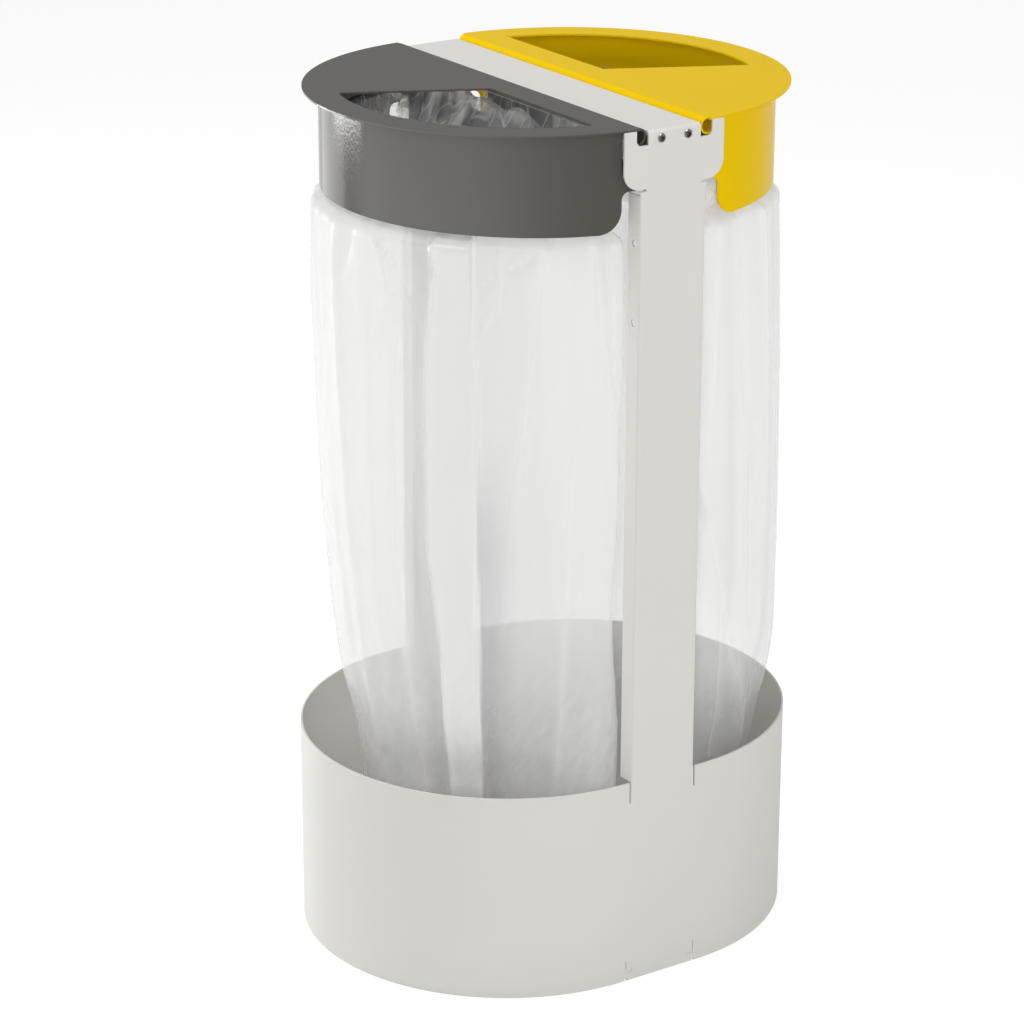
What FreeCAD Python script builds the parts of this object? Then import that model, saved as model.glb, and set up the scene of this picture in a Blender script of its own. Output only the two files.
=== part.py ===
import FreeCAD, Part
import math
import os
import re

import Sketcher
from FreeCAD import Placement, Rotation, Vector

# Double sack holder: a folded steel frame carries two half-round lids and two film sacks.
# Millimetres, +Z up, origin on the floor under the centre of the base.
# X runs along the base, the left lid is at -X, and the front upright is at -Y.
# The front half and the rear half are alike, and so are the two sides.

doc = FreeCAD.newDocument("sack_holder")
sizes = doc.addObject("Spreadsheet::Sheet", "Sizes")

# Dimensions: name, value or rule, what it measures
DIMENSIONS = [
    ("overall_height", 955, "floor to the top of the closed lids"),
    ("half_depth", 230, "centre to the outer face of an upright"),
    ("flat_half", 50, "half of the straight run of the base band"),
    ("base_height", 236, "height of the base band"),
    ("frame_sheet", 2, "thickness of the frame's sheet"),
    ("upright_half", 41, "half of an upright's width"),
    ("flange_depth", 21, "depth of an upright's side flange"),
    ("flange_drop", 71, "lid top down to the top of a flange"),
    ("bend_radius", 2.5, "outer radius of the frame's folds"),
    ("bridge_half", 32.5, "half of the bridge's width"),
    ("bridge_drop", 4, "lid top down to the bridge"),
    ("bridge_radius", 4, "outer radius where the uprights fold into the bridge"),
    ("ear_half", 62, "half of the width over the ears"),
    ("ear_drop", 64, "lid top down to the lower edge of an ear"),
    ("ear_radius", 20, "lower corner of an ear"),
    ("slit_width", 2.5, "relief slit under an ear"),
    ("slit_reach", 6, "how far the slit runs into the upright"),
    ("notch_outer", 47, "centre to the outer edge of a knuckle notch"),
    ("notch_drop", 18.5, "lid top down to the foot of a knuckle notch"),
    ("notch_radius", 6, "rounded foot of a knuckle notch"),
    ("rim_slit_width", 2.5, "relief slit in the rim beside an upright"),
    ("rim_slit_depth", 24, "depth of the rim slit"),
    ("foot_nick", 3, "relief nick in the band's lower edge"),
    ("spare_hole_radius", 4, "spare hole in a flange"),
    ("spare_hole_drop", 122, "lid top down to the upper spare hole"),
    ("spare_hole_pitch", 85, "between the two spare holes"),
    ("floor_height", 10, "floor to the underside of the floor plate"),
    ("floor_sheet", 3, "thickness of the floor plate"),
    ("floor_gap", 0.3, "clearance round the floor plate and its tabs"),
    ("tab_inner", 37, "centre to the inner edge of a floor plate tab"),
    ("tab_outer", 45, "centre to the outer edge of a floor plate tab"),
    ("mark_height", 11, "height of the slit that rises beside a tab slot"),
    ("mark_width", 1, "width of that slit"),
    ("anchor_y", 150, "centre to a floor fixing hole, between the sacks"),
    ("anchor_radius", 4.5, "floor fixing hole"),
    ("hinge_x", 43, "centre to a hinge axis"),
    ("roll_radius", 9, "outer radius of a lid's rolled knuckle"),
    ("roll_gap", 0.6, "end play of a knuckle behind an ear"),
    ("roll_open_angle", 45, "where the rolled edge stops, short of the lid plate"),
    ("lid_sheet", 2, "thickness of a lid's sheet"),
    ("lid_rest_gap", 0.3, "clearance between a lid and the ears it rests on"),
    ("skirt_centre", 18, "centre of a lid skirt's curve"),
    ("skirt_inset", 2.5, "how far a skirt's radius stays under the half depth"),
    ("skirt_radius", "=half_depth - skirt_inset", "outer radius of a lid skirt"),
    ("plate_centre", 32.5, "centre of a lid plate's round edge"),
    ("plate_rim", 4.5, "how much larger a lid plate's radius is than its skirt's"),
    ("plate_radius", "=skirt_radius + plate_rim", "radius of a lid plate's round edge"),
    ("skirt_depth", 108, "lid top down to the lower edge of a skirt"),
    ("skirt_end", 60, "centre to the upright edge of a skirt's end"),
    ("skirt_overlap", 1.3, "how far a skirt's cut-out stays behind the ear's outline"),
    ("horn_start", 44, "centre to the tip of a skirt's horn"),
    ("horn_height", 2.4, "height of the horn under an ear"),
    ("horn_radius", 8, "inner corner under the horn"),
    ("skirt_corner", 25, "lower corner of a skirt's end"),
    ("opening_x", 75, "centre to the straight side of a lid's opening"),
    ("opening_y", 4, "the opening's inner corner, off the middle"),
    ("opening_rim", 35, "width of the lid plate outside its opening"),
    ("opening_radius", "=plate_radius - opening_rim", "round side of a lid's opening"),
    ("opening_angle", 19.4, "where the round side ends"),
    ("hinge_plate_sheet", 5, "thickness of a hinge plate"),
    ("hinge_plate_half", 57, "half of a hinge plate's width"),
    ("hinge_plate_drop", 54, "lid top down to the foot of a hinge plate"),
    ("hinge_plate_corner", 10, "lower corner of a hinge plate"),
    ("cradle_gap", 0.4, "clearance of a knuckle in its cradle"),
    ("cradle_tongue", 32, "half width of the tongue between two cradles"),
    ("tongue_gap", 0.3, "tongue to the underside of the bridge"),
    ("screw_x", 16.5, "centre to a bridge screw"),
    ("screw_drop", 13, "lid top down to a bridge screw"),
    ("screw_radius", 2.5, "shank of a screw"),
    ("screw_gap", 0.05, "clearance of a screw in its thread"),
    ("screw_hole_gap", 0.3, "clearance of a screw in a plain hole"),
    ("head_radius", 4.75, "domed head of a screw"),
    ("head_height", 2.7, "height of the domed head"),
    ("head_crown", 2.2, "half width of the flat on the domed head"),
    ("socket_width", 3, "across the flats of the hexagon socket"),
    ("socket_depth", 1.7, "depth of the hexagon socket"),
    ("screw_length", 7, "shank below the head of a bridge screw"),
    ("ring_screw_length", 7.5, "shank below the head of a ring screw"),
    ("ring_drop", 43, "lid top down to the middle of a sack ring"),
    ("ring_bar", 3, "half of the width and the height of a sack ring's bar"),
    ("ring_side", 52, "centre to the straight side of a sack ring"),
    ("ring_space", 15.5, "skirt down to a sack ring, in radius"),
    ("ring_centre", "=skirt_centre", "centre of a sack ring's curve"),
    ("ring_radius", "=skirt_radius - ring_space", "radius of a sack ring's curve"),
    ("ring_corner", 14, "corner radius of a sack ring"),
    ("blade_height", 62, "how far the flat blade of a ring's straight side hangs below its bar"),
    ("arm_sheet", 3, "thickness of a ring's blade and its two arms"),
    ("arm_height", 16, "height of a ring's arm"),
    ("arm_foot", 6, "ring screw to the inner edge of the arm's foot"),
    ("ring_screw_x", 40, "centre to a ring screw"),
    ("film", 1, "wall of a sack's solid"),
    ("film_gap", 0.5, "film to what it lies on"),
    ("cuff_length", 60, "how far the cuff hangs below the ring"),
    ("cuff_slot_gap", 0.8, "clearance of the film round a ring's arm"),
    ("sack_side", 46, "centre to the inner side of a sack"),
    ("sack_centre", 38, "centre of a sack's curve"),
    ("sack_corner", 12, "corner radius of a sack"),
    ("foot_gather", 57, "how far a sack draws in from its ring at the floor plate"),
    ("sack_foot_radius", "=ring_radius - foot_gather", "a sack's curve at the floor plate"),
    ("sack_base_level", 90, "height where a sack has filled out at the foot"),
    ("sack_low_level", 240, "height of a sack's low measure"),
    ("sack_mid_level", 420, "height of a sack's middle measure"),
    ("sack_high_level", 660, "height of a sack's upper measure"),
    ("sack_shoulder_drop", 125, "lid top down to a sack's shoulder"),
    ("left_low_swell", -33, "left sack's low measure, radius past its ring"),
    ("left_mid_swell", -5, "left sack's middle measure, radius past its ring"),
    ("left_high_swell", 6, "left sack's upper measure, radius past its ring"),
    ("right_low_swell", -5, "right sack's low measure, radius past its ring"),
    ("right_mid_swell", 12, "right sack's middle measure, radius past its ring"),
    ("right_high_swell", 11, "right sack's upper measure, radius past its ring"),
    ("shoulder_swell", 3, "a sack's shoulder just below the skirt, radius past its ring"),
]
NAMES = set()
for row, (name, value, meaning) in enumerate(DIMENSIONS, start=1):
    sizes.set(f"A{row}", meaning)
    sizes.set(f"B{row}", str(value))
    sizes.setAlias(f"B{row}", name)
    NAMES.add(name)
doc.recompute()


def formula(text):
    """An expression on the sheet's aliases, written with their bare names."""
    def full(word):
        return "Sizes." + word.group(0) if word.group(0) in NAMES else word.group(0)
    return re.sub(r"[a-z_]+", full, str(text))


def number(text):
    """The present value of such an expression."""
    value = doc.Sizes.evalExpression(formula(text))
    return float(getattr(value, "Value", value))


# Heights and places that several pieces share
TOP = "overall_height"
FRONT_INNER = "(half_depth - frame_sheet)"
BRIDGE_TOP = "(overall_height - bridge_drop)"
LID_UNDER = "(overall_height - lid_sheet)"
EAR_LOW = "(overall_height - ear_drop)"
EAR_TOP = "(overall_height - lid_sheet - lid_rest_gap)"
SLIT_LOW = "(overall_height - ear_drop - slit_width)"
FLANGE_TOP = "(overall_height - flange_drop)"
NOTCH_LOW = "(overall_height - notch_drop)"
AXIS_Z = "(overall_height - roll_radius)"
SCREW_Z = "(overall_height - screw_drop)"
RING_Z = "(overall_height - ring_drop)"
SKIRT_LOW = "(overall_height - skirt_depth)"
HINGE_PLATE_LOW = "(overall_height - hinge_plate_drop)"
HINGE_PLATE_INNER = "(half_depth - frame_sheet - hinge_plate_sheet)"
FLOOR_TOP = "(floor_height + floor_sheet)"


def minus(text):
    return f"-({text})"


def body_named(label):
    body = doc.addObject("PartDesign::Body", label)
    body.Label = label
    return body


def plane(body, role):
    return next(f for f in body.Origin.OriginFeatures if f.Role == role)


def sketch_on(body, name, role, lift="0"):
    """A sketch on one of the body's own planes, lifted along that plane's normal."""
    sketch = body.newObject("Sketcher::SketchObject", name)
    sketch.AttachmentSupport = [(plane(body, role), "")]
    sketch.MapMode = "FlatFace"
    sketch.setExpression(".AttachmentOffset.Base.z", formula(lift))
    return sketch


def arc_through(start, end, radius, side):
    """A circular arc of less than half a turn. side is 1 when it turns left on its way, -1 right."""
    chord = end - start
    middle = (start + end) * 0.5
    left = Vector(-chord.y, chord.x, 0).normalize()
    height = math.sqrt(max(radius ** 2 - (chord.Length / 2) ** 2, 0))
    centre = middle + left * (height * side)
    crown = centre + (middle - centre).normalize() * radius if height > 1e-6 else middle - left * (radius * side)
    return Part.Arc(start, crown, end)


def draw_loop(sketch, corners):
    """A closed outline. Each corner is (x, y) and starts a straight run, or (x, y, radius, side)
    and starts an arc. Every corner and radius is bound to the sheet."""
    places = [Vector(number(c[0]), number(c[1]), 0) for c in corners]
    first = sketch.GeometryCount
    count = len(corners)
    for i, corner in enumerate(corners):
        start, end = places[i], places[(i + 1) % count]
        if len(corner) == 2:
            sketch.addGeometry(Part.LineSegment(start, end), False)
        else:
            sketch.addGeometry(arc_through(start, end, number(corner[2]), corner[3]), False)
    # an arc that turns right is stored with its two ends swapped
    swapped = [len(c) == 4 and c[3] < 0 for c in corners]
    for i in range(count):
        after = (i + 1) % count
        end_of_this = 1 if swapped[i] else 2
        start_of_next = 2 if swapped[after] else 1
        sketch.addConstraint(
            Sketcher.Constraint("Coincident", first + i, end_of_this, first + after, start_of_next)
        )
    for i, corner in enumerate(corners):
        start_point = 2 if swapped[i] else 1
        for kind, text, value in (("DistanceX", corner[0], places[i].x), ("DistanceY", corner[1], places[i].y)):
            index = sketch.addConstraint(Sketcher.Constraint(kind, first + i, start_point, value))
            sketch.setExpression(f"Constraints[{index}]", formula(text))
        if len(corner) == 4:
            index = sketch.addConstraint(Sketcher.Constraint("Radius", first + i, number(corner[2])))
            sketch.setExpression(f"Constraints[{index}]", formula(corner[2]))


def draw_circle(sketch, x, y, radius):
    index = sketch.addGeometry(Part.Circle(Vector(number(x), number(y), 0), Vector(0, 0, 1), number(radius)), False)
    for kind, text in (("DistanceX", x), ("DistanceY", y)):
        place = sketch.addConstraint(Sketcher.Constraint(kind, index, 3, number(text)))
        sketch.setExpression(f"Constraints[{place}]", formula(text))
    place = sketch.addConstraint(Sketcher.Constraint("Radius", index, number(radius)))
    sketch.setExpression(f"Constraints[{place}]", formula(radius))


def draw_box(sketch, x_low, x_high, y_low, y_high):
    draw_loop(sketch, [(x_low, y_low), (x_high, y_low), (x_high, y_high), (x_low, y_high)])


def pad(body, sketch, length, back=False, both=False):
    feature = body.newObject("PartDesign::Pad", sketch.Name + "_pad")
    feature.Profile = sketch
    feature.setExpression("Length", formula(length))
    feature.Reversed = back
    if both:
        feature.SideType = "Symmetric"
    sketch.Visibility = False
    return feature


def pocket(body, sketch, length, both=False, back=False):
    feature = body.newObject("PartDesign::Pocket", sketch.Name + "_pocket")
    feature.Profile = sketch
    feature.setExpression("Length", formula(length))
    feature.Reversed = back
    if both:
        feature.SideType = "Symmetric"
    return feature


def mirrored_outline(half):
    """An outline that is alike on both sides of the Y axis, from its right half, bottom to top."""
    left = []
    for i in range(len(half) - 1, -1, -1):
        x, y = half[i][0], half[i][1]
        before = half[i - 1] if i else None
        if before is not None and len(before) == 4:
            left.append((minus(x), y, before[2], before[3]))
        else:
            left.append((minus(x), y))
    return half + left


def band_loop(sketch, inset):
    """The stadium outline of the base band, inset from its outer face."""
    radius = f"(half_depth - {inset})"
    draw_loop(sketch, [
        ("-flat_half", minus(radius)),
        ("flat_half", minus(radius), radius, 1),
        (f"flat_half + {radius}", "0", radius, 1),
        ("flat_half", radius),
        ("-flat_half", radius, radius, 1),
        (f"-flat_half - {radius}", "0", radius, 1),
    ])


def make_frame():
    """Two uprights with ears, the bridge over them and the base band, folded from one sheet."""
    body = body_named("frame")

    band = sketch_on(body, "band", "XY_Plane")
    band_loop(band, "0")
    band_loop(band, "frame_sheet")
    pad(body, band, "base_height")

    # each upright is a shallow channel with its flanges turned inwards
    channel = sketch_on(body, "channel", "XY_Plane", "base_height")
    flange_end = "(half_depth - flange_depth)"
    for sign in ("-", ""):
        turn = 1 if sign else -1
        face, inner, end = (f"{sign}half_depth", f"{sign}{FRONT_INNER}", f"{sign}{flange_end}")
        bend = f"{sign}(half_depth - bend_radius)"
        draw_loop(channel, [
            ("-upright_half", end),
            ("-upright_half", bend, "bend_radius", turn),
            ("-upright_half + bend_radius", face),
            ("upright_half - bend_radius", face, "bend_radius", turn),
            ("upright_half", bend),
            ("upright_half", end),
            ("upright_half - frame_sheet", end),
            ("upright_half - frame_sheet", inner),
            ("-upright_half + frame_sheet", inner),
            ("-upright_half + frame_sheet", end),
        ])
    pad(body, channel, f"{FLANGE_TOP} - base_height")

    # the face of an upright with its ears, knuckle notches and relief slits
    face_half = [
        ("upright_half - bend_radius", "base_height - rim_slit_depth"),
        ("upright_half - bend_radius", FLANGE_TOP),
        ("upright_half", FLANGE_TOP),
        ("upright_half", SLIT_LOW),
        ("upright_half - slit_reach", SLIT_LOW, "slit_width / 2 + 0.0001", -1),
        ("upright_half - slit_reach", EAR_LOW),
        ("ear_half - ear_radius", EAR_LOW, "ear_radius", 1),
        ("ear_half", f"{EAR_LOW} + ear_radius"),
        ("ear_half", EAR_TOP),
        ("notch_outer", EAR_TOP),
        ("notch_outer", f"{NOTCH_LOW} + notch_radius", "notch_radius", -1),
        ("notch_outer - notch_radius", NOTCH_LOW),
        ("bridge_half", NOTCH_LOW),
        ("bridge_half", f"{BRIDGE_TOP} - bridge_radius"),
    ]
    for name, lift, back in (("front_face", "half_depth", True), ("rear_face", "-half_depth", False)):
        face = sketch_on(body, name, "XZ_Plane", lift)
        draw_loop(face, mirrored_outline(face_half))
        pad(body, face, "frame_sheet", back=back)

    bridge = sketch_on(body, "bridge", "YZ_Plane")
    inner_radius = "(bridge_radius - frame_sheet)"
    draw_loop(bridge, [
        ("-half_depth", f"{BRIDGE_TOP} - bridge_radius"),
        (minus(FRONT_INNER), f"{BRIDGE_TOP} - bridge_radius", inner_radius, -1),
        ("-half_depth + bridge_radius", f"{BRIDGE_TOP} - frame_sheet"),
        ("half_depth - bridge_radius", f"{BRIDGE_TOP} - frame_sheet", inner_radius, -1),
        (FRONT_INNER, f"{BRIDGE_TOP} - bridge_radius"),
        ("half_depth", f"{BRIDGE_TOP} - bridge_radius", "bridge_radius", 1),
        ("half_depth - bridge_radius", BRIDGE_TOP),
        ("-half_depth + bridge_radius", BRIDGE_TOP, "bridge_radius", 1),
    ])
    pad(body, bridge, "2 * bridge_half", both=True)

    # cuts that go through the front wall and the rear wall alike
    cuts = sketch_on(body, "wall_cuts", "XZ_Plane")
    for sign in ("", "-"):
        def across(low, high):
            return (low, high) if not sign else (minus(high), minus(low))
        draw_box(cuts, *across("upright_half", "upright_half + rim_slit_width"),
                 "base_height - rim_slit_depth", "base_height + 1")
        draw_box(cuts, *across("tab_outer - foot_nick / 2", "tab_outer + foot_nick / 2"),
                 "-1", "foot_nick")
        draw_box(cuts, *across("tab_inner - floor_gap", "tab_outer + floor_gap"),
                 "floor_height - floor_gap", f"{FLOOR_TOP} + floor_gap")
        draw_box(cuts, *across("tab_outer + floor_gap - mark_width", "tab_outer + floor_gap"),
                 f"{FLOOR_TOP} + 2 * floor_gap", f"{FLOOR_TOP} + mark_height")
        draw_circle(cuts, f"{sign}screw_x", SCREW_Z, "screw_radius + screw_hole_gap")
    pocket(body, cuts, "3 * half_depth", both=True)

    holes = sketch_on(body, "spare_holes", "YZ_Plane")
    for sign in ("", "-"):
        for level in ("0", "spare_hole_pitch"):
            draw_circle(holes, f"{sign}(half_depth - flange_depth / 2)",
                        f"{TOP} - spare_hole_drop - {level}", "spare_hole_radius")
    pocket(body, holes, "3 * upright_half", both=True)
    return body


def make_floor_plate():
    """The plate the sacks stand on, with tabs in the band's slots and holes for floor bolts."""
    body = body_named("floor_plate")
    outline = sketch_on(body, "floor_outline", "XY_Plane", "floor_height")
    band_loop(outline, "frame_sheet - floor_gap")
    for y in ("anchor_y", "-anchor_y"):
        draw_circle(outline, "0", y, "anchor_radius")
    pad(body, outline, "floor_sheet")
    tabs = sketch_on(body, "floor_tabs", "XY_Plane", "floor_height")
    for sign in ("", "-"):
        for side in ("", "-"):
            x_low, x_high = ("tab_inner", "tab_outer") if not side else ("-tab_outer", "-tab_inner")
            y_low, y_high = ("half_depth - 3 * frame_sheet", "half_depth - floor_gap")
            if sign:
                y_low, y_high = minus(y_high), minus(y_low)
            draw_box(tabs, x_low, x_high, y_low, y_high)
    pad(body, tabs, "floor_sheet")
    return body


def make_hinge_plate(label, turn):
    """A plate behind an upright's head. Both lids' knuckles turn in its cradles and the ring arms bolt to it."""
    body = body_named(label)
    outline = sketch_on(body, label + "_outline", "XZ_Plane", FRONT_INNER)
    cradle = "(roll_radius + cradle_gap)"
    half = [
        ("hinge_plate_half - hinge_plate_corner", HINGE_PLATE_LOW, "hinge_plate_corner", 1),
        ("hinge_plate_half", f"{HINGE_PLATE_LOW} + hinge_plate_corner"),
        ("hinge_plate_half", AXIS_Z),
        (f"hinge_x + {cradle}", AXIS_Z, cradle, -1),
        ("hinge_x", f"{AXIS_Z} - {cradle}", cradle, -1),
        (f"hinge_x - {cradle}", AXIS_Z),
        ("cradle_tongue", AXIS_Z),
        ("cradle_tongue", f"{BRIDGE_TOP} - frame_sheet - tongue_gap - bridge_radius"),
        ("cradle_tongue - bridge_radius", f"{BRIDGE_TOP} - frame_sheet - tongue_gap - bridge_radius"),
    ]
    draw_loop(outline, mirrored_outline(half))
    for x in ("screw_x", "-screw_x"):
        draw_circle(outline, x, SCREW_Z, "screw_radius + screw_gap")
    for x in ("ring_screw_x", "-ring_screw_x"):
        draw_circle(outline, x, RING_Z, "screw_radius + screw_gap")
    pad(body, outline, "hinge_plate_sheet", back=True)
    body.Placement = Placement(Vector(0, 0, 0), Rotation(Vector(0, 0, 1), turn))
    return body


def make_screw(label, length, x, y, z, heading):
    """A domed socket screw. It is drawn with its seat at the origin and its head towards +Z."""
    body = body_named(label)
    profile = sketch_on(body, label + "_profile", "XZ_Plane")
    draw_loop(profile, [
        ("0", minus(length)),
        ("screw_radius", minus(length)),
        ("screw_radius", "0"),
        ("head_radius", "0"),
        ("0.86 * head_radius", "0.6 * head_height"),
        ("head_crown", "head_height"),
        ("0", "head_height"),
    ])
    turn = body.newObject("PartDesign::Revolution", label + "_turned")
    turn.Profile = profile
    turn.ReferenceAxis = (profile, ["V_Axis"])
    turn.Angle = 360
    socket = sketch_on(body, label + "_socket", "XY_Plane", "head_height")
    corner = "(socket_width / sqrt(3))"
    draw_loop(socket, [
        (f"{corner} * {math.cos(math.radians(60 * i)):.6f}", f"{corner} * {math.sin(math.radians(60 * i)):.6f}")
        for i in range(6)
    ])
    pocket(body, socket, "socket_depth")
    body.setExpression(".Placement.Base.x", formula(x))
    body.setExpression(".Placement.Base.y", formula(y))
    body.setExpression(".Placement.Base.z", formula(z))
    body.Placement.Rotation = Rotation(Vector(0, 0, 1), Vector(0, heading, 0))
    return body


def make_lid(label, turn):
    """A half-round lid: a plate with a rolled knuckle along its inner edge and a curved skirt below."""
    body = body_named(label)

    skirt = sketch_on(body, label + "_skirt", "XY_Plane", LID_UNDER)
    inner = "(skirt_radius - lid_sheet)"
    outer_y = "sqrt(skirt_radius^2 - (horn_start - skirt_centre)^2)"
    inner_y = f"sqrt({inner}^2 - (horn_start - skirt_centre)^2)"
    draw_loop(skirt, [
        ("-horn_start", outer_y, "skirt_radius", 1),
        ("-skirt_centre - skirt_radius", "0", "skirt_radius", 1),
        ("-horn_start", minus(outer_y)),
        ("-horn_start", minus(inner_y), inner, -1),
        (f"-skirt_centre - {inner}", "0", inner, -1),
        ("-horn_start", inner_y),
    ])
    pad(body, skirt, f"skirt_depth - lid_sheet", back=True)

    # the skirt's ends follow the ear above, end in a horn under it and clear the upright below
    ends = sketch_on(body, label + "_skirt_ends", "XZ_Plane")
    behind = "(ear_half - skirt_overlap)"
    corner = "(ear_radius - skirt_overlap)"
    horn_low = f"({EAR_LOW} + skirt_overlap - horn_height)"
    past = "(horn_start - 5)"
    draw_loop(ends, [
        (minus(past), LID_UNDER),
        (minus(behind), LID_UNDER),
        (minus(behind), f"{EAR_LOW} + ear_radius", corner, 1),
        ("-(ear_half - ear_radius)", f"{EAR_LOW} + skirt_overlap"),
        (minus(past), f"{EAR_LOW} + skirt_overlap"),
    ])
    draw_loop(ends, [
        (minus(past), horn_low),
        ("-(skirt_end - horn_radius)", horn_low, "horn_radius", 1),
        ("-skirt_end", f"{horn_low} - horn_radius"),
        ("-skirt_end", f"{SKIRT_LOW} + skirt_corner", "skirt_corner", -1),
        ("-(skirt_end + skirt_corner)", SKIRT_LOW),
        ("-(skirt_end + skirt_corner)", f"{SKIRT_LOW} - 5"),
        (minus(past), f"{SKIRT_LOW} - 5"),
    ])
    pocket(body, ends, "3 * half_depth", both=True)

    plate = sketch_on(body, label + "_plate", "XY_Plane", LID_UNDER)
    plate_y = "sqrt(plate_radius^2 - (hinge_x - plate_centre)^2)"
    draw_loop(plate, [
        ("-hinge_x", plate_y, "plate_radius", 1),
        ("-plate_centre - plate_radius", "0", "plate_radius", 1),
        ("-hinge_x", minus(plate_y)),
    ])
    pad(body, plate, "lid_sheet")

    opening = sketch_on(body, label + "_opening", "XY_Plane", TOP)
    tip_y = "sqrt(opening_radius^2 - (opening_x - plate_centre)^2)"
    draw_loop(opening, [
        ("-opening_x", "-opening_y"),
        ("-plate_centre - opening_radius * cos(opening_angle * 1deg)", "opening_radius * sin(opening_angle * 1deg)",
         "opening_radius", 1),
        ("-plate_centre - opening_radius * cos(45deg)", "-opening_radius * sin(45deg)", "opening_radius", 1),
        ("-opening_x", minus(tip_y)),
    ])
    pocket(body, opening, "2 * lid_sheet")

    knuckle = sketch_on(body, label + "_knuckle", "XZ_Plane")
    bore = "(roll_radius - lid_sheet)"
    stop_x, stop_z = "cos(roll_open_angle * 1deg)", "sin(roll_open_angle * 1deg)"
    draw_loop(knuckle, [
        ("-hinge_x", TOP, "roll_radius", -1),
        ("-hinge_x + roll_radius", AXIS_Z, "roll_radius", -1),
        ("-hinge_x", f"{AXIS_Z} - roll_radius", "roll_radius", -1),
        ("-hinge_x - roll_radius", AXIS_Z, "roll_radius", -1),
        (f"-hinge_x - roll_radius * {stop_x}", f"{AXIS_Z} + roll_radius * {stop_z}"),
        (f"-hinge_x - {bore} * {stop_x}", f"{AXIS_Z} + {bore} * {stop_z}", bore, 1),
        (f"-hinge_x - {bore}", AXIS_Z, bore, 1),
        ("-hinge_x", f"{AXIS_Z} - {bore}", bore, 1),
        (f"-hinge_x + {bore}", AXIS_Z, bore, 1),
        ("-hinge_x", LID_UNDER),
    ])
    pad(body, knuckle, f"2 * ({FRONT_INNER} - roll_gap)", both=True)
    body.Placement = Placement(Vector(0, 0, 0), Rotation(Vector(0, 0, 1), turn))
    return body


def d_wire(side, centre, radius, corner, height, inset=0.0):
    """A D-shaped outline at a height: straight at x = -side, round on the outside, tangent corners.
    inset moves the whole outline inwards."""
    side, radius, corner = side + inset, radius - inset, corner - inset
    foot_x = -(side + corner)
    foot_y = math.sqrt((radius - corner) ** 2 - (foot_x + centre) ** 2)
    middle = Vector(-centre, 0, height)
    points = {}
    for sign in (1, -1):
        foot = Vector(foot_x, sign * foot_y, height)
        outwards = (foot - middle).normalize()
        points[sign] = (
            Vector(-side, sign * foot_y, height),
            foot + (Vector(1, 0, 0) + outwards).normalize() * corner,
            middle + outwards * radius,
        )
    upper, lower = points[1], points[-1]
    return Part.Wire([
        Part.LineSegment(lower[0], upper[0]).toShape(),
        Part.Arc(upper[0], upper[1], upper[2]).toShape(),
        Part.Arc(upper[2], Vector(-centre - radius, 0, height), lower[2]).toShape(),
        Part.Arc(lower[2], lower[1], lower[0]).toShape(),
    ])


def free_solid(label, shape, turn=0):
    feature = doc.addObject("Part::Feature", label)
    feature.Label = label
    feature.Shape = shape
    feature.Placement = Placement(Vector(0, 0, 0), Rotation(Vector(0, 0, 1), turn))
    return feature


def box_between(low, high):
    return Part.makeBox(*(high - low), low)


def straight_end():
    """Where a ring's straight side ends and its corner starts."""
    return math.sqrt(
        (number("ring_radius") - number("ring_corner")) ** 2
        - (number("ring_side") + number("ring_corner") - number("ring_centre")) ** 2
    )


def ring_blade():
    """A flat blade under the ring's straight side. An arm goes on from each end to the hinge plate."""
    side, sheet, level = number("ring_side"), number("arm_sheet"), number(RING_Z)
    low_x, high_x = -side - sheet / 2, -side + sheet / 2
    end, seat, tall = straight_end(), number(HINGE_PLATE_INNER), number("arm_height")
    screw_x = number("ring_screw_x")
    blade = box_between(Vector(low_x, -end, level - number("blade_height")), Vector(high_x, end, level))
    for sign in (1, -1):
        arm = box_between(Vector(low_x, end - sheet, level - tall / 2), Vector(high_x, seat, level + tall / 2))
        foot = box_between(
            Vector(low_x, seat - sheet, level - tall / 2),
            Vector(-screw_x + number("arm_foot"), seat, level + tall / 2),
        )
        hole = Part.makeCylinder(
            number("screw_radius + screw_hole_gap"), 3 * sheet, Vector(-screw_x, seat - 2 * sheet, level),
            Vector(0, 1, 0),
        )
        arm = arm.fuse(foot).cut(hole)
        blade = blade.fuse(arm if sign > 0 else arm.mirror(Vector(0, 0, 0), Vector(0, 1, 0)))
    return blade


def ring_band(outer, inner, low, high):
    """The ring's outline as an upright band between two offsets and two heights."""
    shape = [number("ring_side"), number("ring_centre"), number("ring_radius"), number("ring_corner")]
    whole = Part.Face(d_wire(*shape, low, -outer)).extrude(Vector(0, 0, high - low))
    core = Part.Face(d_wire(*shape, low - 1, -inner)).extrude(Vector(0, 0, high - low + 2))
    return whole.cut(core)


def make_ring(label, turn):
    """The D-shaped bar that a sack's mouth is folded over, with its blade and two arms."""
    bar, level = number("ring_bar"), number(RING_Z)
    ring = ring_band(bar, -bar, level - bar, level + bar).fuse(ring_blade())
    return free_solid(label, ring.removeSplitter(), turn)


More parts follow.
